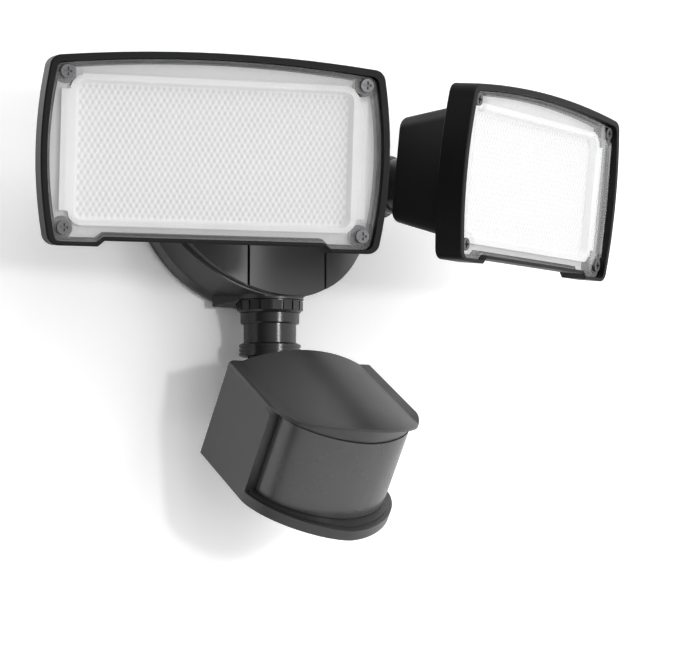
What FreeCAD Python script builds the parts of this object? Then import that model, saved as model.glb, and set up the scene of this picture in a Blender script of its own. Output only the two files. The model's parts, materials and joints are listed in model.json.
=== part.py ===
import FreeCAD, Part
import math
import os

from FreeCAD import Placement, Rotation, Vector

os.makedirs("parts", exist_ok=True)

# Wall mounted security light. Millimetres. The wall is the plane y = 0, the front looks along -Y,
# +Z is up, and the origin is the middle of the canopy's mounting face.

# ---- canopy: round below, closed by a low arched top with rounded corners ----
DISC_R = 60.0                # largest radius, at the wall
TOP_Z = 38.0                 # highest point, at the wall
TOP_R = 150.0                # radius of the arched top
CORNER_R = 16.0
FACE_IN = 4.5                # the front panel's rim lies this far inside the wall outline
FACE_R = DISC_R - FACE_IN
CANOPY_DEPTH = 31.5          # wall to the middle of the front panel
FACE_BOW = 104.0             # radius of the front panel, bowed about a vertical axis
BOW_Y = FACE_BOW - CANOPY_DEPTH
COVER_T = 3.1                # thickness of the front panel
SEAM = 0.5                   # visible seam between housing and panel
WALL = 2.6                   # housing wall
FLOOR_Y = -9.5               # front face of the housing's inner floor
FLOOR_T = 2.2
STRIP_X = 19.3               # half width between the middles of the two grooves
GROOVE_W = 1.2
STRIP_T = 1.5
MOUNT_SCREWS = [(0.0, 22.0), (0.0, -36.0)]            # two long screws (x, z)
COVER_SCREWS = [(-12.5, 22.0), (12.5, 22.0), (-12.5, -40.0), (12.5, -40.0)]

# ---- jointed arms: y' runs from the tilt bolt (0) back to the port ----
COLLAR_R = 13.55
COLLAR_L = 5.0
ARM_REACH = 32.0             # tilt bolt to the collar's port end
BAND_R = 12.1
TUBE_R = 10.8
FLANGE_R = 12.7
TONGUE_T = 11.2              # thickness of the tongue between the clevis ears
EYE_R = 8.0
BOLT_R = 2.4
EAR_GAP = 0.3
EAR_T = 4.0
PORT_R = 13.8                # round boss behind each collar
PORT_BORE_R = 8.2
SPIGOT_R = 11.3

# ---- lamp heads: origin at the tilt bolt, x' right, y' back, z' up ----
HEAD_PIN = (62.9, -50.85, -6.2)
HEAD_YAW = 20.33             # turned outwards
HEAD_PITCH = 6.23            # facing down
RIM_FRONT = -49.25
RIM_BACK = -37.5
HEAD_BACK = -9.0
SCREW_X = 56.5
SCREW_Z = 28.1

# ---- sensor: origin at the top of its back face, x' right, y' back, z' up ----
NECK_Y = -17.5               # vertical neck axis
NECK_TOP = -57.0             # port end of the sensor's collar
SENSOR_YAW = -3.0
SENSOR_PITCH = 31.7
SENSOR_W = 68.2
SENSOR_H = 42.4
SENSOR_SIDE = 36.4           # length of the straight flat sides
PIN_BACK = 17.3              # tilt bolt behind the back face
PIN_DOWN = 17.6              # tilt bolt below the side edge of the roof
ROOF_CROWN = 5.8             # the arched roof rises this far above the side walls' tops
ROOF_EDGE = -3.0             # and starts this far below them
SHELL_T = 2.2


# ---------------------------------------------------------------- helpers
def rod(radius, length, start, direction):
    return Part.makeCylinder(radius, length, Vector(*start), Vector(*direction))


def slab(x0, x1, y0, y1, z0, z1):
    return Part.makeBox(x1 - x0, y1 - y0, z1 - z0, Vector(x0, y0, z0))


def along_y(radius, y0, y1, x=0.0, z=0.0):
    return rod(radius, y1 - y0, (x, y0, z), (0, 1, 0))


def along_x(radius, x0, x1, y=0.0, z=0.0):
    return rod(radius, x1 - x0, (x0, y, z), (1, 0, 0))


def turned(profile):
    """Solid of revolution about Y from (radius, y) points."""
    points = [Vector(r, y, 0) for r, y in profile]
    wire = Part.makePolygon(points + points[:1])
    return Part.Face(wire).revolve(Vector(0, 0, 0), Vector(0, 1, 0), 360)


def extruded(wire, vector):
    return Part.Face(wire).extrude(Vector(*vector))


def arc(a, b, c):
    return Part.Arc(Vector(*a), Vector(*b), Vector(*c)).toShape()


def line(a, b):
    return Part.LineSegment(Vector(*a), Vector(*b)).toShape()


def rounded(x0, x1, z0, z1, radius, y):
    """Rounded rectangle in a plane of constant y."""
    k = radius * (1 - math.sqrt(0.5))
    edges = [
        line((x0 + radius, y, z0), (x1 - radius, y, z0)),
        arc((x1 - radius, y, z0), (x1 - k, y, z0 + k), (x1, y, z0 + radius)),
        line((x1, y, z0 + radius), (x1, y, z1 - radius)),
        arc((x1, y, z1 - radius), (x1 - k, y, z1 - k), (x1 - radius, y, z1)),
        line((x1 - radius, y, z1), (x0 + radius, y, z1)),
        arc((x0 + radius, y, z1), (x0 + k, y, z1 - k), (x0, y, z1 - radius)),
        line((x0, y, z1 - radius), (x0, y, z0 + radius)),
        arc((x0, y, z0 + radius), (x0 + k, y, z0 + k), (x0 + radius, y, z0)),
    ]
    return Part.Wire(edges)


def rounded_block(x0, x1, z0, z1, radius, y0, y1):
    return extruded(rounded(x0, x1, z0, z1, radius, y0), (0, y1 - y0, 0))


def tapered(front, back, radius, y0, y1):
    """Loft between two rounded rectangles (x half width, z low, z high)."""
    wires = [rounded(-w, w, low, high, radius, y) for (w, low, high), y in ((front, y0), (back, y1))]
    return Part.makeLoft(wires, True, True)


def group(shapes):
    return Part.makeCompound(shapes)


def softened(shape, radius, keep):
    """Fillet the edges that keep(edge) accepts."""
    edges = [e for e in shape.Edges if keep(e)]
    return shape.makeFillet(radius, edges)


def save(name, shape):
    solids = shape.Solids
    for solid in solids:
        assert solid.isValid() and solid.Volume > 0, name
    result = solids[0] if len(solids) == 1 else group(solids)
    result.exportStep("parts/" + name + ".step")
    print(name, len(solids), "solids", round(shape.Volume / 1000, 2), "cm3")


# ---------------------------------------------------------------- placements
def head_frame(side):
    """Head axes: side is -1 for left and +1 for right."""
    turn = Rotation(Vector(0, 0, 1), side * HEAD_YAW) * Rotation(Vector(1, 0, 0), HEAD_PITCH)
    return Placement(Vector(side * HEAD_PIN[0], HEAD_PIN[1], HEAD_PIN[2]), turn)


def arm_frame(side):
    """The arm stays level; only the head tilts."""
    turn = Rotation(Vector(0, 0, 1), side * HEAD_YAW)
    return Placement(Vector(side * HEAD_PIN[0], HEAD_PIN[1], HEAD_PIN[2]), turn)


def neck_frame():
    """The sensor's arm hangs down: y' points up."""
    turn = Rotation(Vector(0, 0, 1), SENSOR_YAW) * Rotation(Vector(1, 0, 0), 90)
    return Placement(Vector(0, NECK_Y, NECK_TOP - ARM_REACH), turn)


def sensor_frame():
    turn = Rotation(Vector(0, 0, 1), SENSOR_YAW) * Rotation(Vector(1, 0, 0), SENSOR_PITCH)
    pin = Vector(0, NECK_Y, NECK_TOP - ARM_REACH)
    return Placement(pin - turn.multVec(Vector(0, PIN_BACK, -PIN_DOWN)), turn)


def placed(shape, placement):
    copy = shape.copy()
    copy.Placement = placement.multiply(copy.Placement)
    return copy


# ---------------------------------------------------------------- jointed arm
COLLAR_Y0 = ARM_REACH - COLLAR_L
BAND_Y = (22.4, COLLAR_Y0 - 0.3)
TUBE_Y = (14.4, 22.4)
FLANGE_Y = (9.0, 14.4)
ARM_END = ARM_REACH - 2.2


def lock_collar():
    """Ribbed ring that holds the arm's end on the port."""
    profile = [(10.0, COLLAR_Y0), (12.5, COLLAR_Y0), (COLLAR_R - 0.6, COLLAR_Y0 + 0.9),
               (COLLAR_R - 0.6, ARM_REACH), (11.45, ARM_REACH), (11.45, COLLAR_Y0 + 1.0),
               (10.0, COLLAR_Y0 + 1.0)]
    ring = turned(profile)
    rib_count = 18
    ribs = []
    for i in range(rib_count):
        rib = slab(-1.95, 1.95, COLLAR_Y0 + 0.9, ARM_REACH - 0.3, COLLAR_R - 1.4, COLLAR_R - 0.1)
        rib.rotate(Vector(0, 0, 0), Vector(0, 1, 0), 360.0 * i / rib_count)
        ribs.append(rib)
    return ring.fuse(ribs).removeSplitter()


def swivel_arm():
    """Hollow tube: retained end, band, flange with steps and the tongue for the tilt bolt."""
    body = turned([(0, 6.0), (FLANGE_R - 2.2, 6.0), (FLANGE_R - 1.4, FLANGE_Y[0]),
                   (FLANGE_R, FLANGE_Y[0] + 0.4), (FLANGE_R, FLANGE_Y[1] - 0.5),
                   (FLANGE_R - 0.8, FLANGE_Y[1]), (TUBE_R, TUBE_Y[0] + 0.3), (TUBE_R, BAND_Y[0]),
                   (BAND_R - 0.4, BAND_Y[0]), (BAND_R, BAND_Y[0] + 0.5), (BAND_R, BAND_Y[1]),
                   (9.9, BAND_Y[1]), (9.9, ARM_END - 1.5), (11.1, ARM_END - 1.5),
                   (11.1, ARM_END), (0, ARM_END)])
    for groove_y in (FLANGE_Y[0] + 1.6, FLANGE_Y[0] + 3.2):
        cut = turned([(FLANGE_R - 0.6, groove_y), (FLANGE_R + 1, groove_y),
                      (FLANGE_R + 1, groove_y + 0.6), (FLANGE_R - 0.6, groove_y + 0.6)])
        body = body.cut(cut)
    half = TONGUE_T / 2
    waist = slab(-20, 20, 5.0, 8.8, -20, 20).cut(slab(-half, half, 0, 9, -EYE_R, EYE_R))
    body = body.cut(waist)
    tongue = slab(-half, half, 0, 9.4, -EYE_R, EYE_R).fuse(along_x(EYE_R, -half, half))
    body = body.fuse(tongue)
    body = body.cut(along_x(BOLT_R + 0.06, -half - 1, half + 1))
    body = body.cut(along_y(7.4, 12.0, ARM_END + 1))
    wire_way = rod(2.2, 12.0, (0, 5.0, 0), (0, 1, 0))
    return body.cut(wire_way).removeSplitter()


EAR_IN = TONGUE_T / 2 + EAR_GAP
EAR_OUT = EAR_IN + EAR_T


def clevis(reach):
    """Two ears from a base plane at y' = -reach to the tilt bolt at the origin."""
    ears = []
    for side in (-1, 1):
        x0, x1 = sorted((side * EAR_IN, side * EAR_OUT))
        ear = slab(x0, x1, -reach - 0.5, 0, -EYE_R, EYE_R).fuse(along_x(EYE_R, x0, x1))
        ears.append(ear.cut(along_x(BOLT_R, x0 - 1, x1 + 1)))
    return ears


def tilt_bolt():
    shank = along_x(BOLT_R, -EAR_OUT - 4.6, EAR_OUT + 0.2)
    head = along_x(4.6, EAR_OUT, EAR_OUT + 3.4)
    head = head.makeFillet(1.0, [e for e in head.Edges if abs(e.BoundBox.XMin - EAR_OUT - 3.4) < 1e-6
                                 and e.Length > 20])
    socket = Part.makePolygon([Vector(EAR_OUT + 1.4, 2.3 * math.cos(math.radians(60 * i)),
                                      2.3 * math.sin(math.radians(60 * i))) for i in range(7)])
    return shank.fuse(head).cut(extruded(socket, (3, 0, 0))).removeSplitter()


def lock_nut():
    corner = 4.7
    ring = Part.makePolygon([Vector(-EAR_OUT, corner * math.cos(math.radians(60 * i)),
                                    corner * math.sin(math.radians(60 * i))) for i in range(7)])
    nut = extruded(ring, (-4.0, 0, 0))
    return nut.cut(along_x(BOLT_R, -EAR_OUT - 6, -EAR_OUT + 1))


# ---------------------------------------------------------------- canopy
def canopy_outline(inset, y):
    """The wall outline, moved inwards by inset: four tangent arcs, the lower one in two halves."""
    top_centre = TOP_Z - TOP_R
    low_gap = DISC_R - CORNER_R
    top_gap = TOP_R - CORNER_R
    corner_z = (top_gap ** 2 - low_gap ** 2 - top_centre ** 2) / (-2 * top_centre)
    corner_x = math.sqrt(low_gap ** 2 - corner_z ** 2)
    low_angle = math.atan2(corner_z, corner_x)
    top_angle = math.atan2(corner_z - top_centre, corner_x)

    def at(centre_x, centre_z, radius, angle):
        return (centre_x + radius * math.cos(angle), y, centre_z + radius * math.sin(angle))
    big, small, wide = DISC_R - inset, CORNER_R - inset, TOP_R - inset
    right = [at(0, 0, big, -math.pi / 2), at(0, 0, big, (low_angle - math.pi / 2) / 2),
             at(0, 0, big, low_angle),
             at(corner_x, corner_z, small, (low_angle + top_angle) / 2),
             at(0, top_centre, wide, top_angle)]
    left = [(-x, level, z) for x, level, z in right]
    return Part.Wire([arc(*right[0:3]), arc(*right[2:5]), arc(right[4], (0, y, TOP_Z - inset), left[4]),
                      arc(left[4], left[3], left[2]), arc(left[2], left[1], left[0])])


def canopy_slab(inset, y0, y1):
    return extruded(canopy_outline(inset, y0), (0, y1 - y0, 0))


def canopy_stack(levels):
    """Straight sided solid through (inset, y) levels of the outline."""
    return Part.makeLoft([canopy_outline(inset, y) for inset, y in levels], True, True)


def behind_bow(radius):
    """Everything on the wall side of the bowed surface of the given radius."""
    return rod(radius, 200, (0, BOW_Y, -100), (0, 0, 1)).common(slab(-90, 90, -60, 0, -100, 100))


def port_parts(placement, depth):
    """Boss, spigot and bore of one arm port."""
    boss = placed(along_y(PORT_R, ARM_REACH + 0.3, ARM_REACH + depth), placement)
    spigot = placed(along_y(SPIGOT_R, ARM_REACH - 1.9, ARM_REACH + 0.4), placement)
    bore = placed(along_y(PORT_BORE_R, ARM_REACH - 4, ARM_REACH + depth), placement)
    return boss, spigot, bore


GASKET_T = 2.0
PLATE_T = 1.6
INLET_R = 6.0
INLET_AT = (0.0, -4.8)       # wire hole in the inner floor (x, z)
PAD_Z = -59.6                # bottom of the flat pad behind the neck
BOSS_BOW = 98.5              # the ports' inner ends stay this far behind the panel
CUP_R = 5.6
CUP_FLOOR = -25.4            # front face of the screw cups' floors
TOWER_TOP = -23.5


def canopy_base():
    outer = canopy_stack([(0, -GASKET_T), (0, -4.2), (0.8, -5.0), (1.8, -6.0),
                          (FACE_IN - 0.9, -22.0), (FACE_IN - 0.4, -34.0)])
    outer = outer.common(behind_bow(FACE_BOW - COVER_T - SEAM))
    wall_in = FACE_IN - 0.7 + WALL
    inner = canopy_stack([(FACE_IN, -1.0), (FACE_IN, -6.0), (wall_in, -22.0), (wall_in, -36.0)])
    inner = inner.cut(slab(-80, 80, FLOOR_Y, FLOOR_Y + FLOOR_T, -80, 80))
    pad_ends = [(20.0, PAD_Z, -5.0), (13.5, PAD_Z + 2.2, -16.0)]
    pad = Part.makeLoft([rounded(-half, half, low, -46, 0.5, y) for half, low, y in pad_ends], True, True)
    collar_room = rod(COLLAR_R + 0.45, 10, (0, NECK_Y, NECK_TOP + 0.1), (0, 0, -1))
    ports = [port_parts(arm_frame(-1), 19), port_parts(arm_frame(1), 19), port_parts(neck_frame(), 8)]
    room = slab(-90, 90, -80, -4.4, -90, 90)
    under_panel = behind_bow(FACE_BOW - COVER_T - SEAM).fuse(slab(-90, 90, -60, 0, -90, -FACE_R - SEAM))
    bosses = [p[0].common(room) for p in ports]
    bosses[2] = bosses[2].common(under_panel)
    shell = outer.fuse([pad] + bosses).cut(collar_room)
    towers = [along_y(5.2, TOWER_TOP, FLOOR_Y + 0.5, x, z) for x, z in MOUNT_SCREWS + COVER_SCREWS]
    holes = [along_y(2.3, -40, 0, x, z) for x, z in MOUNT_SCREWS]
    holes += [along_y(1.4, -40, -11.5, x, z) for x, z in COVER_SCREWS]
    hollow = shell.cut(inner).fuse(towers + [b.common(behind_bow(BOSS_BOW)) for b in bosses])
    hollow = hollow.fuse([p[1] for p in ports])
    hollow = hollow.cut([p[2] for p in ports] + holes)
    hollow = hollow.cut(along_y(INLET_R, -20, -1, *INLET_AT))
    return hollow.cut(slab(-90, 90, -GASKET_T, 5, -90, 90)).removeSplitter()


def front_cover():
    shell = canopy_slab(FACE_IN, -60, 0).common(behind_bow(FACE_BOW))
    shell = shell.cut(behind_bow(FACE_BOW - COVER_T))
    skirt_in = FACE_IN + 2.9
    skirt_tube = canopy_slab(skirt_in, -60, 0).cut(canopy_slab(skirt_in + 1.7, -60, 1))
    skirt = skirt_tube.common(behind_bow(FACE_BOW - COVER_T + 0.3)).cut(behind_bow(FACE_BOW - COVER_T - 3.4))
    shell = shell.fuse(skirt)
    recess = slab(-STRIP_X - GROOVE_W / 2, STRIP_X + GROOVE_W / 2, -60, 0, -70, 70)
    recess = recess.cut(behind_bow(FACE_BOW - STRIP_T - 0.05))
    places = MOUNT_SCREWS + COVER_SCREWS
    cups = [along_y(CUP_R, CUP_FLOOR - 2.9, CUP_FLOOR + 1.6, x, z) for x, z in places]
    shell = shell.fuse(cups).cut(recess)
    shell = shell.cut([along_y(CUP_R - 1.2, -40, CUP_FLOOR, x, z) for x, z in places])
    shell = shell.cut([along_y(2.5, -40, -20, x, z) for x, z in MOUNT_SCREWS])
    shell = shell.cut([along_y(1.9, -40, -20, x, z) for x, z in COVER_SCREWS])
    for side in (-1, 1):
        shell = shell.cut(placed(along_y(PORT_R + 0.4, ARM_REACH - 8, ARM_REACH + 30), arm_frame(side)))
    shell = shell.cut(placed(along_y(PORT_R + 0.4, ARM_REACH - 8, ARM_REACH + 12), neck_frame()))
    largest = max(shell.Solids, key=lambda s: s.Volume)
    return largest.removeSplitter()


def center_strip():
    edge = STRIP_X - GROOVE_W / 2
    plate = canopy_slab(FACE_IN + 0.2, -60, 0).common(slab(-edge, edge, -60, 0, -70, 70))
    plate = plate.common(behind_bow(FACE_BOW)).cut(behind_bow(FACE_BOW - STRIP_T))
    return plate.removeSplitter()


def cover_seals():
    """Foam strips between the arm ports."""
    seal_in = FACE_IN + 1.95
    tube = canopy_slab(seal_in, -60, 0).cut(canopy_slab(seal_in + 0.9, -60, 1))
    ring = tube.common(behind_bow(FACE_BOW - COVER_T - 0.9)).cut(behind_bow(FACE_BOW - COVER_T - 2.6))
    gap = placed(along_y(PORT_R + 0.6, ARM_REACH - 8, ARM_REACH + 30), neck_frame())
    for side in (-1, 1):
        gap = gap.fuse(placed(along_y(PORT_R + 0.6, ARM_REACH - 8, ARM_REACH + 30), arm_frame(side)))
    return ring.cut(gap)


def screw(head_r, head_h, shank_r, length, x, y, z):
    """Pan head screw along Y, its head in front of y, with a cross recess."""
    head = along_y(head_r, y - head_h, y, x, z)
    slot = slab(x - head_r * 0.6, x + head_r * 0.6, y - head_h - 1, y - head_h * 0.5, z - 0.4, z + 0.4)
    cross = slab(x - 0.4, x + 0.4, y - head_h - 1, y - head_h * 0.5, z - head_r * 0.6, z + head_r * 0.6)
    return head.cut([slot, cross]).fuse(along_y(shank_r, y - 0.2, y + length, x, z))


def mounting_plate():
    plate = canopy_slab(PLATE_IN, -PLATE_T, 0).cut(along_y(11.0, -3, 1))
    slots = []
    for side in (-1, 1):
        for low in (SLOT_NEAR, SLOT_FAR):
            slots.append(along_y(SLOT_R, -3, 1, side * low, 0))
        x0, x1 = sorted((side * SLOT_NEAR, side * SLOT_FAR))
        slots.append(slab(x0, x1, -3, 1, -SLOT_R, SLOT_R))
    plate = plate.cut(slots)
    for x, z in MOUNT_SCREWS:
        plate = plate.fuse(along_y(4.2, -4.2, -1.2, x, z))
        plate = plate.cut(along_y(1.8, -6, 1, x, z))
    return plate.cut(along_y(1.6, -3, 1, *GROUND_AT)).removeSplitter()


SLOT_R = 2.4
SLOT_NEAR = 34.8             # box screws 69.6 mm apart at the inner ends of the slots
SLOT_FAR = 44.6              # and 89.2 mm apart at the outer ends
GROUND_AT = (22.0, 14.0)
PLATE_IN = 9.2               # plate edge inside the wall outline


def led_driver():
    case = slab(-26, 26, -24.5, -9.8, 3.6, 15.8)
    case = softened(case, 1.5, lambda e: e.BoundBox.YLength > 10)
    leads = [along_x(2.0, -29, -25.5, -16, 9.7), along_x(2.0, 25.5, 29, -16, 9.7)]
    return case.fuse(leads).removeSplitter()


def control_board():
    board = slab(-27, 27, -13.6, -12.0, -30, 1.0)
    relay = slab(-24, -9, -22.5, -13.6, -27, -17)
    radio = slab(4, 22, -16.6, -13.6, -12, -1)
    terminals = slab(-6, 12, -21.5, -13.6, -28, -20)
    capacitor = along_y(4.0, -21.0, -13.6, -16, -8)
    standoffs = [along_y(2.0, -12.0, FLOOR_Y, x, z) for x in (-22, 22) for z in (-15, -3)]
    return board.fuse([relay, radio, terminals, capacitor] + standoffs).removeSplitter()


def inlet_grommet():
    mid = FLOOR_Y + FLOOR_T / 2
    profile = [(3.2, mid - 2.6), (7.6, mid - 2.6), (8.0, mid - 1.3), (5.9, mid - 1.3),
               (5.9, mid + 1.3), (8.0, mid + 1.3), (7.6, mid + 2.6), (3.2, mid + 2.6)]
    ring = turned(profile)
    ring.translate(Vector(INLET_AT[0], 0, INLET_AT[1]))
    return ring


def canopy_parts():
    save("wall_gasket", canopy_slab(1.5, -GASKET_T, 0).cut(canopy_slab(8.5, -3, 1)))
    save("mounting_plate", mounting_plate())
    save("ground_screw", screw(3.4, 2.0, 1.6, 1.5, GROUND_AT[0], -1.6, GROUND_AT[1]))
    save("canopy_base", canopy_base())
    save("cover_seals", cover_seals())
    save("front_cover", front_cover())
    save("center_strip", center_strip())
    save("mounting_screws", group([screw(3.9, 2.4, 1.8, 25.0, x, CUP_FLOOR, z) for x, z in MOUNT_SCREWS]))
    save("cover_screws", group([screw(3.2, 2.0, 1.4, 12.0, x, CUP_FLOOR, z) for x, z in COVER_SCREWS]))
    save("led_driver", led_driver())
    save("control_board", control_board())
    save("inlet_grommet", inlet_grommet())


# ---------------------------------------------------------------- lamp head
TOP_MID = 37.2
TOP_END = 33.6
TOP_X = 62.6
SIDE_X = 65.9
FOOT_X = 62.2
FOOT_Z = -34.7
BELLY_Z = -32.6
STEP_OUT = 44.0
STEP_IN = 41.6
RIM_T = 2.4
RIM_T_LOW = 1.35


def head_outline(inset, low_inset, y):
    """Bowed top and sides, flat bottom raised between two corner feet."""
    top_x = TOP_X - inset
    foot_x = FOOT_X - inset
    top = TOP_END - inset
    foot = FOOT_Z + low_inset
    belly = BELLY_Z + low_inset
    side_mid = (TOP_END + FOOT_Z) / 2
    edges = [
        arc((-top_x, y, top), (0, y, TOP_MID - inset), (top_x, y, top)),
        arc((top_x, y, top), (SIDE_X - inset, y, side_mid), (foot_x, y, foot)),
        line((foot_x, y, foot), (STEP_OUT, y, foot)),
        line((STEP_OUT, y, foot), (STEP_IN, y, belly)),
        line((STEP_IN, y, belly), (-STEP_IN, y, belly)),
        line((-STEP_IN, y, belly), (-STEP_OUT, y, foot)),
        line((-STEP_OUT, y, foot), (-foot_x, y, foot)),
        arc((-foot_x, y, foot), (-SIDE_X + inset, y, side_mid), (-top_x, y, top)),
    ]
    return Part.Wire(edges)


def head_prism(inset, low_inset, y0, y1, corner):
    body = extruded(head_outline(inset, low_inset, y0), (0, y1 - y0, 0))

    def is_corner(edge):
        box = edge.BoundBox
        return box.YLength > abs(y1 - y0) * 0.9 and abs(box.XMin) > 55 and box.XLength < 1
    return softened(body, corner, is_corner)


def corner_places():
    return [(sx * SCREW_X, sz * SCREW_Z) for sx in (-1, 1) for sz in (-1, 1)]


BOARD_SCREWS = [(sx * 40.0, sz * 12.0) for sx in (-1, 1) for sz in (-1, 1)]
LENS_BACK = -44.8
LEDGE_Y = -44.0
LEDGE_W = 1.6                # width of the seal ledge inside the bezel
PLATE_Y = (-34.4, -32.4)


def head_housing():
    rim = head_prism(0, 0, RIM_FRONT, RIM_BACK, 4.5)
    rim = softened(rim, 0.7, lambda e: e.BoundBox.YLength < 1e-3)
    rear = tapered((60.5, -25.8, 25.5), (51.5, -20.6, 21.0), 5.0, RIM_BACK - 0.5, HEAD_BACK)
    rear = softened(rear, 2.5, lambda e: abs(e.BoundBox.YMin - HEAD_BACK) < 1e-3 and e.BoundBox.YLength < 1e-3)
    pocket = head_prism(RIM_T, RIM_T_LOW, RIM_FRONT - 1, LEDGE_Y, 3.0)
    bay = head_prism(RIM_T + LEDGE_W, RIM_T_LOW + LEDGE_W, LEDGE_Y - 1, RIM_BACK - 2.4, 2.0)
    cavity = tapered((57.8, -23.2, 22.9), (49.0, -18.2, 18.6), 3.5, RIM_BACK - 3.0, HEAD_BACK - 2.6)
    shell = rim.fuse(rear).cut([pocket, bay, cavity])
    bosses = [along_y(3.5, LEDGE_Y, RIM_BACK - 1.0, x, z) for x, z in corner_places()]
    posts = [along_y(3.0, PLATE_Y[1], HEAD_BACK - 2.0, x, z) for x, z in BOARD_SCREWS]
    shell = shell.fuse(bosses + posts)
    holes = [along_y(1.1, LEDGE_Y - 1, RIM_BACK - 1.8, x, z) for x, z in corner_places()]
    holes += [along_y(1.0, PLATE_Y[1] - 1, PLATE_Y[1] + 8, x, z) for x, z in BOARD_SCREWS]
    holes.append(along_y(3.0, -20, 0, 0, 13.5))
    return shell.cut(holes).fuse(clevis(-HEAD_BACK)).removeSplitter()


def head_lens():
    base = head_prism(RIM_T + 0.25, RIM_T_LOW + 0.25, -46.3, LENS_BACK, 3.0)
    slope = tapered((63.4, -33.0, 35.6), (58.4, -27.8, 28.6), 5.0, -45.8, -48.3)
    dome = head_prism(RIM_T + 1.1, RIM_T_LOW + 1.0, -48.3, -45.8, 3.0).common(slope)
    lens = base.fuse(dome)
    lens = lens.cut([along_y(5.2, -50, -46.3, x, z) for x, z in corner_places()])
    lens = lens.cut(rounded_block(-56.0, 56.0, -24.8, 25.6, 4.0, -46.7, -40))
    return lens.cut([along_y(1.4, -50, -40, x, z) for x, z in corner_places()]).removeSplitter()


def head_gasket():
    ring = head_prism(RIM_T + 0.5, RIM_T_LOW + 0.5, LENS_BACK, LEDGE_Y, 3.0)
    return ring.cut(head_prism(RIM_T + LEDGE_W, RIM_T_LOW + LEDGE_W, -50, -40, 2.0))


def reflector():
    frame = rounded_block(-58.0, 58.0, -27.1, 27.8, 2.0, -44.4, -43.0)
    frame = frame.cut([along_y(6.2, -50, -38, x, z) for x, z in corner_places()])
    tray = rounded_block(-54.6, 54.6, -27.2, 27.4, 5.0, -44.4, -40.0)
    tray = tray.cut([along_y(4.2, -50, -38, x, z) for x, z in corner_places()])
    window = tapered((52.6, -25.4, 25.6), (51.6, -24.6, 24.6), 3.6, -44.5, -41.5)
    well = rounded_block(-52.9, 52.9, -25.6, 25.8, 3.4, -41.6, -39.0)
    skirt = head_prism(RIM_T + LEDGE_W + 0.3, RIM_T_LOW + LEDGE_W + 0.3, -42.2, -41.0, 1.8)
    skirt = skirt.cut([along_y(4.2, -50, -38, x, z) for x, z in corner_places()])
    return frame.fuse([tray, skirt]).cut([window, well]).removeSplitter()


def diffuser():
    return rounded_block(-52.7, 52.7, -25.4, 25.6, 3.4, -41.6, -40.0)


def led_board():
    board = slab(-45, 45, -36.0, PLATE_Y[0], -17, 17)
    return board.cut([along_y(1.3, -40, -30, x, z) for x, z in BOARD_SCREWS])


def led_array():
    columns = 10
    pitch = 9.0
    chips = []
    for i in range(columns):
        for z in (-8.0, 0.0, 8.0):
            x = (i - (columns - 1) / 2) * pitch
            if abs(abs(x) - 40) < 4 and abs(z) > 4:
                continue
            chips.append(slab(x - 1.4, x + 1.4, -36.8, -36.0, z - 1.75, z + 1.75))
    return group(chips)


def heat_plate():
    plate = slab(-47, 47, PLATE_Y[0], PLATE_Y[1], -18, 18)
    return plate.cut([along_y(1.3, -40, -30, x, z) for x, z in BOARD_SCREWS])


def head_parts():
    lens_screws = group([screw(2.5, 1.5, 1.1, 6.8, x, -46.3, z) for x, z in corner_places()])
    board_screws = group([screw(2.2, 1.2, 1.0, 8.0, x, -36.0, z) for x, z in BOARD_SCREWS])
    pieces = {
        "housing": head_housing(), "lens": head_lens(), "gasket": head_gasket(),
        "lens_screws": lens_screws, "reflector": reflector(), "diffuser": diffuser(),
        "led_board": led_board(), "led_array": led_array(), "heat_plate": heat_plate(),
        "board_screws": board_screws,
    }
    for side, word in ((-1, "left"), (1, "right")):
        for name, shape in pieces.items():
            save(name + "_" + word, placed(shape, head_frame(side)))


# ---------------------------------------------------------------- sensor
LENS_W = 59.6
LENS_SAG = 21.6
LENS_Z = (-37.0, -3.2)
LIP_W = 68.2
LIP_SAG = 29.6
LIP_N = 1.65                 # fullness of the lip's rounded front
CAP_Z = -3.2                 # underside of the roof
VISOR_W = 68.6
VISOR_SIDE = 32.0            # the visor's plan starts to curve this far in front of the back face
VISOR_SAG = 31.0
VISOR_T = 1.1
BRIM_ROUND = 2.0             # rounding of the flat brims beside the arch


def d_points(width, side, sag, fullness, count=25):
    """Points of the rounded front, from left to right, of a D-shaped plan."""
    points = []
    for i in range(count):
        t = math.pi * (i / (count - 1) - 0.5)
        reach = abs(math.cos(t)) ** (2 / fullness) if 0 < i < count - 1 else 0.0
        spread = math.copysign(abs(math.sin(t)) ** (2 / fullness), math.sin(t))
        points.append((width / 2 * spread, -side - sag * reach))
    return points


def d_plan(width, back, side, sag, fullness, z):
    front = [Vector(x, y, z) for x, y in d_points(width, side, sag, fullness)]
    curve = Part.BSplineCurve()
    curve.interpolate(front)
    corner_l = Vector(-width / 2, back, z)
    corner_r = Vector(width / 2, back, z)
    edges = [Part.LineSegment(corner_l, front[0]).toShape(), curve.toShape(),
             Part.LineSegment(front[-1], corner_r).toShape(),
             Part.LineSegment(corner_r, corner_l).toShape()]
    return Part.Wire(edges)


def d_block(width, back, side, sag, fullness, z0, z1):
    return extruded(d_plan(width, back, side, sag, fullness, z0), (0, 0, z1 - z0))


def roof_arch(drop):
    """Solid under the arched roof surface, lowered by drop."""
    half = SENSOR_W / 2 + 1
    low = ROOF_CROWN - (ROOF_CROWN - ROOF_EDGE) * (half / (SENSOR_W / 2)) ** 2 - drop
    edges = [arc((-half, 1, low), (0, 1, ROOF_CROWN - drop), (half, 1, low)),
             line((half, 1, low), (half, 1, -60)), line((half, 1, -60), (-half, 1, -60)),
             line((-half, 1, -60), (-half, 1, low))]
    return extruded(Part.Wire(edges), (0, -80, 0))


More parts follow.
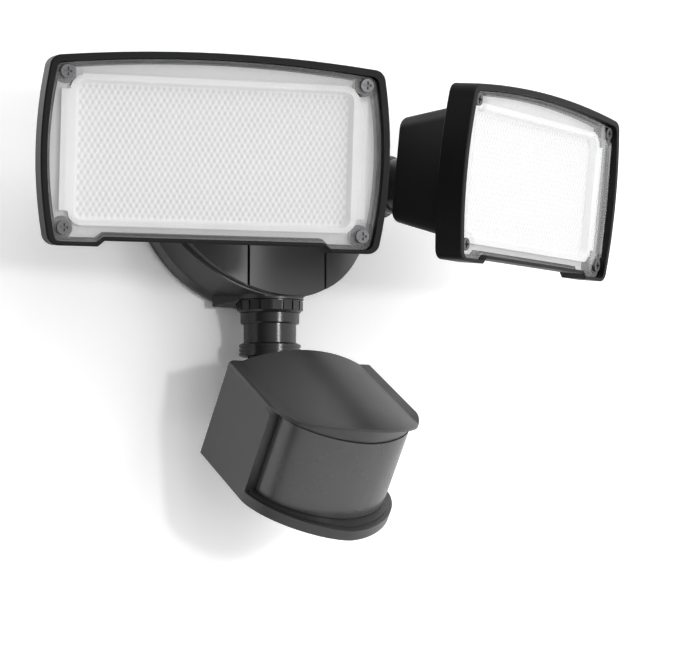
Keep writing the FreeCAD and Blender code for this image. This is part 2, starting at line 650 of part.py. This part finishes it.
def sensor_roof():
    """Arched cap between flat side brims, widening to a thin visor over a sloping band."""
    plan = d_block(VISOR_W, 0.0, VISOR_SIDE, VISOR_SAG, 1.8, CAP_Z, 10)
    brim = slab(-VISOR_W / 2, VISOR_W / 2, -80, 5, CAP_Z - 5, 0)
    brim = softened(brim, BRIM_ROUND, lambda e: e.BoundBox.YLength > 80 and e.BoundBox.ZMin > -1)
    cap = plan.common(roof_arch(0).fuse(brim))
    band_low = d_plan(LENS_W, -VISOR_SIDE, SENSOR_SIDE, LENS_SAG, 1.8, CAP_Z)
    band_high = d_plan(VISOR_W - 2.6, -VISOR_SIDE, VISOR_SIDE + 1.0, VISOR_SAG - 2.4, 1.8, ROOF_CROWN)
    band = Part.makeLoft([band_low, band_high], True, True)
    behind = slab(-40, 40, -SENSOR_SIDE - 0.1, 5, -10, 12)
    below_brim = slab(-40, 40, -80, -SENSOR_SIDE, -10, -VISOR_T - 0.3)
    under = roof_arch(VISOR_T).fuse(below_brim).cut([band, behind])
    cap = cap.cut(under)
    inside = d_block(LENS_W - 3.4, -SHELL_T, SENSOR_SIDE, LENS_SAG - 1.8, 1.8, CAP_Z - 1, 10)
    cap = cap.cut(inside.common(roof_arch(2.4)))
    return cap.removeSplitter()


def back_screw_places():
    """The four screws of the sensor's back plate (x', z')."""
    return [(sx * (SENSOR_W / 2 - 4.8), z) for sx in (-1, 1) for z in (-SENSOR_H + 6.6, -8.4)]


def sensor_housing():
    """Flat side walls, cross wall with the sensor opening, D-shaped floor and lip."""
    half = SENSOR_W / 2
    block = slab(-half, half, -SENSOR_SIDE, 0, -SENSOR_H, CAP_Z - 0.1)
    inside = slab(-half + SHELL_T, half - SHELL_T, -SENSOR_SIDE + 2.6, 1, -SENSOR_H + 2.4, 5)
    body = block.cut(inside)
    body = body.cut(rounded_block(-24, 24, -33, -8, 4.0, -SENSOR_SIDE - 1, -SENSOR_SIDE + 4))
    lip = d_block(LIP_W, -SENSOR_SIDE + 2.0, SENSOR_SIDE - 0.2, LIP_SAG, LIP_N, -SENSOR_H, -38.1)
    groove = d_block(LIP_W - 3.2, -20.0, SENSOR_SIDE - 0.2, LIP_SAG - 2.6, LIP_N, -38.2, -37.2)
    dish = d_block(LENS_W - 4.4, -SENSOR_SIDE - 1.0, SENSOR_SIDE + 2.0, LENS_SAG - 4.6, 1.8, -39.6, -36)
    sill = groove.cut(slab(-40, 40, -SENSOR_SIDE, 10, -50, 0))
    body = body.fuse([lip.cut(slab(-40, 40, -SENSOR_SIDE + 2.4, 10, -50, 0)), sill]).cut(dish)
    for x, z in back_screw_places():
        body = body.fuse(along_y(3.2, -14.0, -2.8, x, z)).cut(along_y(1.1, -12.0, 1, x, z))
    return body.removeSplitter()


def sensor_lens():
    outer = d_block(LENS_W, -SENSOR_SIDE - 0.3, SENSOR_SIDE + 0.5, LENS_SAG, 1.8, *LENS_Z)
    inner = d_block(LENS_W - 3.2, -SENSOR_SIDE + 1, SENSOR_SIDE + 0.5, LENS_SAG - 1.8, 1.8,
                    LENS_Z[0] - 1, LENS_Z[1] + 1)
    return outer.cut(inner).removeSplitter()


def sensor_back():
    half = SENSOR_W / 2 - SHELL_T - 0.3
    plate = slab(-half, half, -2.6, 0, -SENSOR_H + 2.8, CAP_Z - 0.3)
    ears = [placed(e, Placement(Vector(0, PIN_BACK, -PIN_DOWN), Rotation())) for e in clevis(PIN_BACK)]
    plate = plate.cut([along_y(1.4, -5, 1, x, z) for x, z in back_screw_places()])
    gusset = slab(-EAR_OUT, EAR_OUT, -1.0, 3.0, -PIN_DOWN - EYE_R, -PIN_DOWN + EYE_R)
    plate = plate.fuse(ears + [gusset]).cut(rod(2.0, 12, (0, -6, -PIN_DOWN), (0, 1, 0)))
    return plate.removeSplitter()


def sensor_board():
    board = slab(-28, 28, -32.0, -30.4, -37, -6)
    eyes = []
    for angle in (-40, 0, 40):
        eye = rod(4.2, 4.0, (0, 0, 0), (0, -1, 0))
        eye.rotate(Vector(0, 0, 0), Vector(0, 0, 1), angle)
        eye.translate(Vector(math.sin(math.radians(angle)) * 18, -31.5, -20))
        eyes.append(eye)
    stays = [along_y(2.0, -30.4, -2.6, x, z) for x in (-20, 20) for z in (-32, -12)]
    return board.fuse(eyes + stays).removeSplitter()


def back_screws():
    shapes = []
    for x, z in back_screw_places():
        one = screw(2.4, 1.4, 1.1, 8.0, 0, 0, 0)
        one.rotate(Vector(0, 0, 0), Vector(0, 0, 1), 180)
        one.translate(Vector(x, 0, z))
        shapes.append(one)
    return group(shapes)


def sensor_parts():
    pieces = {
        "sensor_housing": sensor_housing(), "sensor_roof": sensor_roof(),
        "sensor_lens": sensor_lens(), "sensor_back": sensor_back(),
        "sensor_board": sensor_board(), "sensor_screws": back_screws(),
    }
    for name, shape in pieces.items():
        save(name, placed(shape, sensor_frame()))


def arm_parts():
    shapes = {"collar": lock_collar(), "arm": swivel_arm(), "bolt": tilt_bolt(), "nut": lock_nut()}
    frames = {
        "left": (arm_frame(-1), head_frame(-1)), "right": (arm_frame(1), head_frame(1)),
        "sensor": (neck_frame(), tilted_neck()),
    }
    for word, (level, tilted) in frames.items():
        save("collar_" + word, placed(shapes["collar"], level))
        save("arm_" + word, placed(shapes["arm"], level))
        save("bolt_" + word, placed(shapes["bolt"], tilted))
        save("nut_" + word, placed(shapes["nut"], tilted))


def tilted_neck():
    """Frame of the sensor's tilt bolt, turned with the sensor."""
    turn = Rotation(Vector(0, 0, 1), SENSOR_YAW) * Rotation(Vector(1, 0, 0), SENSOR_PITCH)
    return Placement(Vector(0, NECK_Y, NECK_TOP - ARM_REACH), turn)


canopy_parts()
arm_parts()
head_parts()
sensor_parts()
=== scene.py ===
import json
import math

import bpy
from mathutils import Matrix, Vector

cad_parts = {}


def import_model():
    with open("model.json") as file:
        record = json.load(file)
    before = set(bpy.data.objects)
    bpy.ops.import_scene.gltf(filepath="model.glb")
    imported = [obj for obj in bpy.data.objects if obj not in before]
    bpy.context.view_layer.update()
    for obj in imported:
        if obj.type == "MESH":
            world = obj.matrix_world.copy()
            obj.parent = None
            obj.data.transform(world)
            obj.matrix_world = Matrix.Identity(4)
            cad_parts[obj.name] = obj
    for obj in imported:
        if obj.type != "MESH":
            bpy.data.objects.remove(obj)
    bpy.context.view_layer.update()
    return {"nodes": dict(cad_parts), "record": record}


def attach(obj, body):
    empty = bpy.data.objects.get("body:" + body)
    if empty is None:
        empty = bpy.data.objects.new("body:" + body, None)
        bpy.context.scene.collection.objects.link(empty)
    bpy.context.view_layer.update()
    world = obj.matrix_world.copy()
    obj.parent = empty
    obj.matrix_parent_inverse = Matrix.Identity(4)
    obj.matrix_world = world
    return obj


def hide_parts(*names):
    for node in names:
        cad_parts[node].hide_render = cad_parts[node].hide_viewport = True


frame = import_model()
nodes = frame["nodes"]

# ---------------------------------------------------------------- camera and light
CAMERA_AT = (-0.5916, -0.8405, -0.1304)
CAMERA_LOOK = (0.6052, 0.7938, 0.0592)
CAMERA_LENS = 131.4          # mm
CAMERA_SENSOR = 36.0         # mm
CAMERA_REACH = 20.0
WALL_GAP = 0.0004            # the wall stands just behind the mounting face
WALL_X = (-0.36, 1.6)
WALL_TOP = 1.2
FLOOR_X = 1.6
FLOOR_FRONT = -3.0
FLOOR_Z = -1.1
WHITE = (1, 1, 1, 1)
BACKDROP_LIT = 0.8           # the backdrop's grey for light that it throws back
BACKDROP_SEEN = 1.24         # the backdrop's grey for the camera
ROOM_LIGHT_FROM = (0.61, -0.59, 0.53)
ROOM_SPAN = (-0.5, 1.0)      # cosine to that direction, from the dim side to the bright side
ROOM_STRENGTH = (0.10, 1.36)
# place, aim, diameter and watts of each lamp
LAMPS = {
    "key": ((0.85, -1.25, 0.85), (0.0, -0.05, -0.05), 0.8, 5),
    "front": ((0.10, -1.9, 0.05), (0.0, -0.05, -0.05), 0.18, 5),
    "rear": ((-0.5, 1.5, 0.7), (0.0, -0.05, -0.03), 0.9, 10),
}


def add_to_scene(name, data):
    obj = bpy.data.objects.new(name, data)
    bpy.context.scene.collection.objects.link(obj)
    return obj


def look_along(obj, at, direction):
    obj.location = at
    obj.rotation_mode = "QUATERNION"
    obj.rotation_quaternion = direction.to_track_quat("-Z", "Y")


def camera():
    data = bpy.data.cameras.new("camera")
    data.sensor_width = CAMERA_SENSOR
    data.lens = CAMERA_LENS
    data.clip_end = CAMERA_REACH
    obj = add_to_scene("camera", data)
    look_along(obj, CAMERA_AT, Vector(CAMERA_LOOK))
    bpy.context.scene.camera = obj


def lamp(name, at, aim, size, watts):
    data = bpy.data.lights.new(name, "AREA")
    data.shape = "DISK"
    data.size = size
    data.energy = watts
    look_along(add_to_scene(name, data), at, Vector(aim) - Vector(at))


def map_range(tree, value, span, low, high, smooth=False):
    """Maps span onto low to high and holds the ends beyond it."""
    node = tree.nodes.new("ShaderNodeMapRange")
    if smooth:
        node.interpolation_type = "SMOOTHSTEP"
    node.inputs["From Min"].default_value = span[0]
    node.inputs["From Max"].default_value = span[1]
    node.inputs["To Min"].default_value = low
    node.inputs["To Max"].default_value = high
    tree.links.new(value, node.inputs["Value"])
    return node.outputs["Result"]


def mix_shaders(tree, factor, first, second):
    node = tree.nodes.new("ShaderNodeMixShader")
    tree.links.new(factor, node.inputs["Fac"])
    tree.links.new(first.outputs[0], node.inputs[1])
    tree.links.new(second.outputs[0], node.inputs[2])
    return node.outputs[0]


def backdrop_material():
    """Brighter for camera rays, also through clear covers, and clear from its rear."""
    material = bpy.data.materials.new("backdrop")
    material.use_nodes = True
    tree = material.node_tree
    tree.nodes.clear()
    out = tree.nodes.new("ShaderNodeOutputMaterial")
    path = tree.nodes.new("ShaderNodeLightPath")
    seen = tree.nodes.new("ShaderNodeMath")
    seen.operation = "MAXIMUM"
    tree.links.new(path.outputs["Is Camera Ray"], seen.inputs[0])
    tree.links.new(path.outputs["Is Transmission Ray"], seen.inputs[1])
    front = tree.nodes.new("ShaderNodeBsdfDiffuse")
    grey = map_range(tree, seen.outputs[0], (0, 1), BACKDROP_LIT, BACKDROP_SEEN)
    tree.links.new(grey, front.inputs["Color"])
    rear = tree.nodes.new("ShaderNodeBsdfTransparent")
    side = tree.nodes.new("ShaderNodeNewGeometry").outputs["Backfacing"]
    tree.links.new(mix_shaders(tree, side, front, rear), out.inputs["Surface"])
    return material


def backdrop():
    """A pale wall behind the light and a pale floor far below it."""
    material = backdrop_material()
    left, right = WALL_X
    corners = {
        "wall": [(left, WALL_GAP, FLOOR_Z), (right, WALL_GAP, FLOOR_Z),
                 (right, WALL_GAP, WALL_TOP), (left, WALL_GAP, WALL_TOP)],
        "floor": [(-FLOOR_X, FLOOR_FRONT, FLOOR_Z), (FLOOR_X, FLOOR_FRONT, FLOOR_Z),
                  (FLOOR_X, WALL_GAP, FLOOR_Z), (-FLOOR_X, WALL_GAP, FLOOR_Z)],
    }
    for name, points in corners.items():
        mesh = bpy.data.meshes.new(name)
        mesh.from_pydata(points, [], [(0, 1, 2, 3)])
        mesh.materials.append(material)
        obj = add_to_scene(name, mesh)
        # the rear lamp shines through the wall, onto the rear of the light
        obj.visible_shadow = name == "floor"


def world():
    """Soft room light, strongest from the upper right in front and weak from the left."""
    studio_world = bpy.data.worlds.new("studio")
    studio_world.use_nodes = True
    tree = studio_world.node_tree
    tree.nodes.clear()
    out = tree.nodes.new("ShaderNodeOutputWorld")
    place = tree.nodes.new("ShaderNodeTexCoord")
    towards = tree.nodes.new("ShaderNodeVectorMath")
    towards.operation = "DOT_PRODUCT"
    towards.inputs[1].default_value = ROOM_LIGHT_FROM
    tree.links.new(place.outputs["Generated"], towards.inputs[0])
    soft = tree.nodes.new("ShaderNodeBackground")
    soft.inputs["Color"].default_value = WHITE
    strength = map_range(tree, towards.outputs["Value"], ROOM_SPAN, *ROOM_STRENGTH, smooth=True)
    tree.links.new(strength, soft.inputs["Strength"])
    plain = tree.nodes.new("ShaderNodeBackground")
    plain.inputs["Color"].default_value = WHITE
    seen = tree.nodes.new("ShaderNodeLightPath").outputs["Is Camera Ray"]
    tree.links.new(mix_shaders(tree, seen, soft, plain), out.inputs["Surface"])
    bpy.context.scene.world = studio_world


def studio():
    camera()
    backdrop()
    world()
    for name, values in LAMPS.items():
        lamp(name, *values)
    bpy.context.scene.view_settings.view_transform = "Standard"


# ---------------------------------------------------------------- materials
NOISE_SPAN = (0.15, 0.85)    # the part of a noise's range that counts
GRAIN_MM = 0.35
GRAIN_DEPTH_MM = 0.02
DOME_SHADE_SPAN = (0.0, 0.75)
# painted shade: the grey the panel gets in the valleys between its domes
VALLEY_PAINTED_SHADE = (0.61, 0.61, 0.61)
DOME_WHITE = (0.88, 0.88, 0.875)
PANEL_GLOW = (1.0, 0.99, 0.97, 1)
PANEL_GLOW_STRENGTH = 0.02


class Finish:
    """A node material built up round one principled shader."""

    def __init__(self, name, colour, roughness, **sockets):
        self.material = bpy.data.materials.new(name)
        self.material.use_nodes = True
        self.tree = self.material.node_tree
        self.shader = self.tree.nodes["Principled BSDF"]
        self.colour = colour
        self.shader.inputs["Base Color"].default_value = (*colour, 1)
        self.shader.inputs["Roughness"].default_value = roughness
        for socket, value in sockets.items():
            self.shader.inputs[socket.replace("_", " ")].default_value = value
        self.place = self.tree.nodes.new("ShaderNodeTexCoord")
        self.last_bump = None

    def noise(self, scale, detail, stretch=None):
        node = self.tree.nodes.new("ShaderNodeTexNoise")
        node.inputs["Scale"].default_value = scale
        node.inputs["Detail"].default_value = detail
        source = self.place.outputs["Object"]
        if stretch:
            mapping = self.tree.nodes.new("ShaderNodeMapping")
            mapping.inputs["Scale"].default_value = stretch
            self.tree.links.new(source, mapping.inputs["Vector"])
            source = mapping.outputs["Vector"]
        self.tree.links.new(source, node.inputs["Vector"])
        return node.outputs["Fac"]

    def blend_colours(self, factor, first, second):
        mix = self.tree.nodes.new("ShaderNodeMix")
        mix.data_type = "RGBA"
        mix.inputs[6].default_value = (*first, 1)
        mix.inputs[7].default_value = (*second, 1)
        self.tree.links.new(factor, mix.inputs["Factor"])
        self.tree.links.new(mix.outputs[2], self.shader.inputs["Base Color"])

    def vary_colour(self, value, spread):
        """Lets the base colour drift by plus and minus spread, as a share of itself."""
        darker = [c * (1 - spread) for c in self.colour]
        lighter = [min(1, c * (1 + spread)) for c in self.colour]
        self.blend_colours(map_range(self.tree, value, NOISE_SPAN, 0, 1), darker, lighter)

    def vary_roughness(self, value, low, high):
        varied = map_range(self.tree, value, NOISE_SPAN, low, high)
        self.tree.links.new(varied, self.shader.inputs["Roughness"])

    def bump(self, value, height_mm, strength=1.0):
        node = self.tree.nodes.new("ShaderNodeBump")
        node.inputs["Distance"].default_value = height_mm / 1000
        node.inputs["Strength"].default_value = strength
        self.tree.links.new(value, node.inputs["Height"])
        if self.last_bump:
            self.tree.links.new(self.last_bump, node.inputs["Normal"])
        self.last_bump = node.outputs["Normal"]
        self.tree.links.new(self.last_bump, self.shader.inputs["Normal"])


def moulded(name, colour, roughness, grain_mm=GRAIN_MM, depth_mm=GRAIN_DEPTH_MM, gloss=0.5, ior=1.5):
    """Moulded or coated surface with a fine grain and slow colour drift."""
    made = Finish(name, colour, roughness, Specular_IOR_Level=gloss, IOR=ior)
    made.vary_colour(made.noise(scale=22, detail=4), spread=0.10)
    made.vary_roughness(made.noise(scale=60, detail=3), roughness - 0.05, roughness + 0.06)
    made.bump(made.noise(scale=1000 / grain_mm, detail=2), depth_mm)
    made.bump(made.noise(scale=140, detail=2), height_mm=0.03, strength=0.5)
    return made.material


def steel(name, colour, roughness):
    """Plated sheet or screw steel, brushed one way."""
    made = Finish(name, colour, roughness, Metallic=1.0)
    made.vary_colour(made.noise(scale=160, detail=4), spread=0.08)
    made.vary_roughness(made.noise(scale=400, detail=3), roughness - 0.08, roughness + 0.1)
    made.bump(made.noise(scale=900, detail=2, stretch=(1, 8, 1)), height_mm=0.01)
    return made.material


def clear_plastic():
    """Clear cover with a faint waviness."""
    made = Finish("clear_cover", (0.93, 0.935, 0.94), 0.08,
                  Alpha=0.16, IOR=1.49, Coat_Weight=0.4, Coat_Roughness=0.05)
    made.vary_roughness(made.noise(scale=50, detail=3), 0.05, 0.14)
    made.bump(made.noise(scale=90, detail=2), height_mm=0.02, strength=0.4)
    return made.material


def light_panel():
    """White prismatic panel with painted shade between its domes, softly lit from behind."""
    made = Finish("light_panel", DOME_WHITE, 0.28,
                  Emission_Color=PANEL_GLOW, Emission_Strength=PANEL_GLOW_STRENGTH)
    relief = made.tree.nodes.new("ShaderNodeAttribute")
    relief.attribute_name = "relief"
    shade = map_range(made.tree, relief.outputs["Fac"], DOME_SHADE_SPAN, 0, 1)
    # paints shade into the valleys between the domes, by each point's height
    made.blend_colours(shade, VALLEY_PAINTED_SHADE, DOME_WHITE)
    return made.material


def circuit_board():
    """Green lacquered board with streaks of copper under the lacquer."""
    made = Finish("circuit_board", (0.03, 0.16, 0.06), 0.35)
    made.vary_colour(made.noise(scale=900, detail=2, stretch=(1, 1, 6)), spread=0.35)
    made.bump(made.noise(scale=500, detail=2), height_mm=0.03)
    return made.material


def paint_nodes():
    """Makes one material per slot of the record and gives it to the slot's nodes."""
    made = {
        "dark_body": moulded("dark_body", (0.018, 0.018, 0.0195), 0.34, gloss=0.9),
        "dark_arm": moulded("dark_arm", (0.017, 0.017, 0.019), 0.20),
        "head_shell": moulded("head_shell", (0.007, 0.007, 0.008), 0.46, gloss=0.17),
        "bolt_black": moulded("bolt_black", (0.02, 0.02, 0.021), 0.35),
        "screw_steel": steel("screw_steel", (0.14, 0.14, 0.145), 0.42),
        "zinc_steel": steel("zinc_steel", (0.62, 0.63, 0.65), 0.38),
        "foam": moulded("foam", (0.02, 0.02, 0.02), 0.85, grain_mm=0.6, depth_mm=0.06),
        "rubber": moulded("rubber", (0.018, 0.018, 0.018), 0.7),
        "clear_cover": clear_plastic(),
        "white_frame": moulded("white_frame", (0.88, 0.88, 0.875), 0.35),
        "light_panel": light_panel(),
        "circuit_board": circuit_board(),
        "led": moulded("led", (0.85, 0.72, 0.25), 0.3),
        "aluminium": steel("aluminium", (0.75, 0.76, 0.78), 0.35),
        "driver_case": moulded("driver_case", (0.6, 0.6, 0.58), 0.5),
        "infrared_window": moulded("infrared_window", (0.045, 0.045, 0.047), 0.26,
                                   grain_mm=0.5, depth_mm=0.005, gloss=0.8, ior=1.6),
    }
    slot_of = {s["node"]: s["material_slot"] for s in frame["record"]["subparts"]}
    for name, obj in nodes.items():
        obj.data.materials.clear()
        obj.data.materials.append(made[slot_of[name]])
    return made


# ---------------------------------------------------------------- prismatic panels
HEAD_PIN = (0.0629, -0.05085, -0.0062)
HEAD_YAW = math.radians(20.33)
HEAD_PITCH = math.radians(6.23)
PANEL_HALF = 0.0526
PANEL_Z = (-0.0253, 0.0255)
PANEL_FRONT = -0.0416
PANEL_BACK = -0.0400
PANEL_CORNER = 0.0034
BUMP_PITCH_X = 0.0023
BUMP_PITCH_Z = 0.0039        # two staggered rows
BUMP_HEIGHT = 0.0007
EDGE_BAND = 0.0006           # plain edge without domes
EDGE_FADE = 0.001
STEPS_X = 184
STEPS_Z = 104
ACROSS = STEPS_X + 1
PANEL_HIGH = PANEL_Z[1] - PANEL_Z[0]
PANEL_MID_Z = (PANEL_Z[0] + PANEL_Z[1]) / 2


def head_matrix(side):
    turn = Matrix.Rotation(side * HEAD_YAW, 4, "Z") @ Matrix.Rotation(HEAD_PITCH, 4, "X")
    return Matrix.Translation((side * HEAD_PIN[0], HEAD_PIN[1], HEAD_PIN[2])) @ turn


def corner_pull(x, z):
    """Pulls a point of a square corner in to the panel's rounded corner."""
    flat_x = PANEL_HALF - PANEL_CORNER
    flat_z = PANEL_HIGH / 2 - PANEL_CORNER
    dx = abs(x) - flat_x
    dz = abs(z - PANEL_MID_Z) - flat_z
    if dx <= 0 or dz <= 0:
        return x, z
    shrink = max(dx, dz) / math.hypot(dx, dz)
    near_x = math.copysign(flat_x + dx * shrink, x)
    near_z = math.copysign(flat_z + dz * shrink, z - PANEL_MID_Z)
    return near_x, PANEL_MID_Z + near_z


def bump_height(x, z):
    """Staggered rows of low domes that fade out to a raised edge."""
    wave = math.cos(2 * math.pi * x / BUMP_PITCH_X) * math.cos(2 * math.pi * z / BUMP_PITCH_Z)
    edge = min(PANEL_HALF - abs(x), z - PANEL_Z[0], PANEL_Z[1] - z)
    fade = max(0.0, min(1.0, (edge - EDGE_BAND) / EDGE_FADE))
    return BUMP_HEIGHT * (1 - fade + fade * (0.5 + 0.5 * wave))


def panel_front(placement):
    """Points of the domed front, row by row, and each point's height as a share."""
    points = []
    relief = []
    for row in range(STEPS_Z + 1):
        for column in range(ACROSS):
            x, z = corner_pull(-PANEL_HALF + 2 * PANEL_HALF * column / STEPS_X,
                               PANEL_Z[0] + PANEL_HIGH * row / STEPS_Z)
            height = bump_height(x, z)
            relief.append(height / BUMP_HEIGHT)
            points.append(placement @ Vector((x, PANEL_FRONT + BUMP_HEIGHT - height, z)))
    return points, relief


def front_rim():
    """Indices of the front's outermost points, once round."""
    rim = list(range(ACROSS))
    rim += [row * ACROSS + STEPS_X for row in range(1, STEPS_Z + 1)]
    rim += [STEPS_Z * ACROSS + column for column in range(STEPS_X - 1, -1, -1)]
    rim += [row * ACROSS for row in range(STEPS_Z - 1, 0, -1)]
    return rim


def panel_faces(rim, first_back):
    """Front squares, then the side walls, then the flat back."""
    faces = []
    for row in range(STEPS_Z):
        for column in range(STEPS_X):
            a = row * ACROSS + column
            faces.append((a, a + 1, a + 1 + ACROSS, a + ACROSS))
    for k in range(len(rim)):
        n = (k + 1) % len(rim)
        faces.append((rim[k], first_back + k, first_back + n, rim[n]))
    faces.append(tuple(first_back + k for k in range(len(rim))))
    return faces


def prism_panel(side, word, material):
    """Panel with real domes on its front and a flat back."""
    placement = head_matrix(side)
    points, relief = panel_front(placement)
    first_back = len(points)
    rim = front_rim()
    depth = placement.to_3x3() @ Vector((0, PANEL_BACK - PANEL_FRONT - BUMP_HEIGHT, 0))
    points += [points[index] + depth for index in rim]
    relief += [1.0] * len(rim)
    mesh = bpy.data.meshes.new("prism_panel_" + word)
    mesh.from_pydata([tuple(p) for p in points], [], panel_faces(rim, first_back))
    mesh.materials.append(material)
    mesh.attributes.new("relief", "FLOAT", "POINT").data.foreach_set("value", relief)
    mesh.shade_smooth()
    obj = add_to_scene("prism_panel_" + word, mesh)
    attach(obj, "head_" + word)
    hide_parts("diffuser_" + word)


finishes = paint_nodes()
for side, word in ((-1, "left"), (1, "right")):
    prism_panel(side, word, finishes["light_panel"])
studio()
